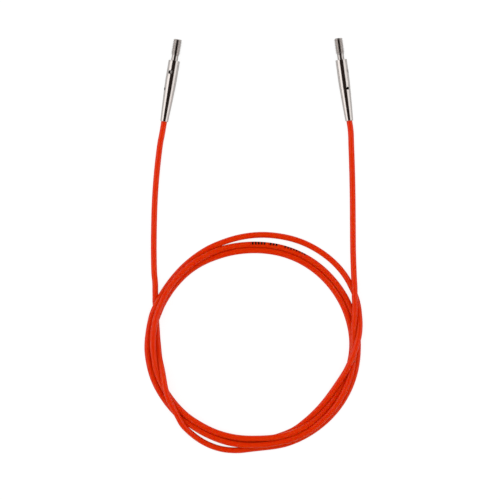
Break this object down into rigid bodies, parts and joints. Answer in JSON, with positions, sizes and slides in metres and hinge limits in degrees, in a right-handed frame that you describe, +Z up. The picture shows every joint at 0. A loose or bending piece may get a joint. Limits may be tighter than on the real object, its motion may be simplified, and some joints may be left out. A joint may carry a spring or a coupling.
{
  "type": "interchangeable circular knitting needle cable",
  "caption": "Coiled flexible nylon cord with a tapered metal barrel and threaded stud at each end for screw-on knitting needle tips.",
  "frame": {"origin": "on the surface the cable lies on, under the centre of the box round the two metal connectors", "axes": "+X from the left connector towards the right one, +Y from the coil towards the studs, +Z up from the surface"},
  "size_m": [0.0593, 0.1127, 0.0032],
  "materials": {
    "cord": "translucent orange-red extruded nylon, smooth",
    "barrel": "bright nickel plate, polished",
    "stud": "nickel plate, machined thread"
  },
  "bodies": {
    "root": {"cord_coil": "cord", "left_cord_tail": "cord", "right_cord_tail": "cord"},
    "left_end": {"left_cord_end": "cord", "left_barrel": "barrel", "left_stud": "stud"},
    "right_end": {"right_cord_end": "cord", "right_barrel": "barrel", "right_stud": "stud"}
  },
  "joints": [
    {"name": "left_bend", "type": "hinge", "parent": "root", "child": "left_end", "pos_m": [-0.02768, -0.0335, 0.00081], "axis": [0, 0, 1], "range_deg": [-25, 60], "stiffness_Nm_per_rad": 0.0117},
    {"name": "right_bend", "type": "hinge", "parent": "root", "child": "right_end", "pos_m": [0.02602, -0.0335, 0.00081], "axis": [0, 0, -1], "range_deg": [-25, 60], "stiffness_Nm_per_rad": 0.0117}
  ]
}
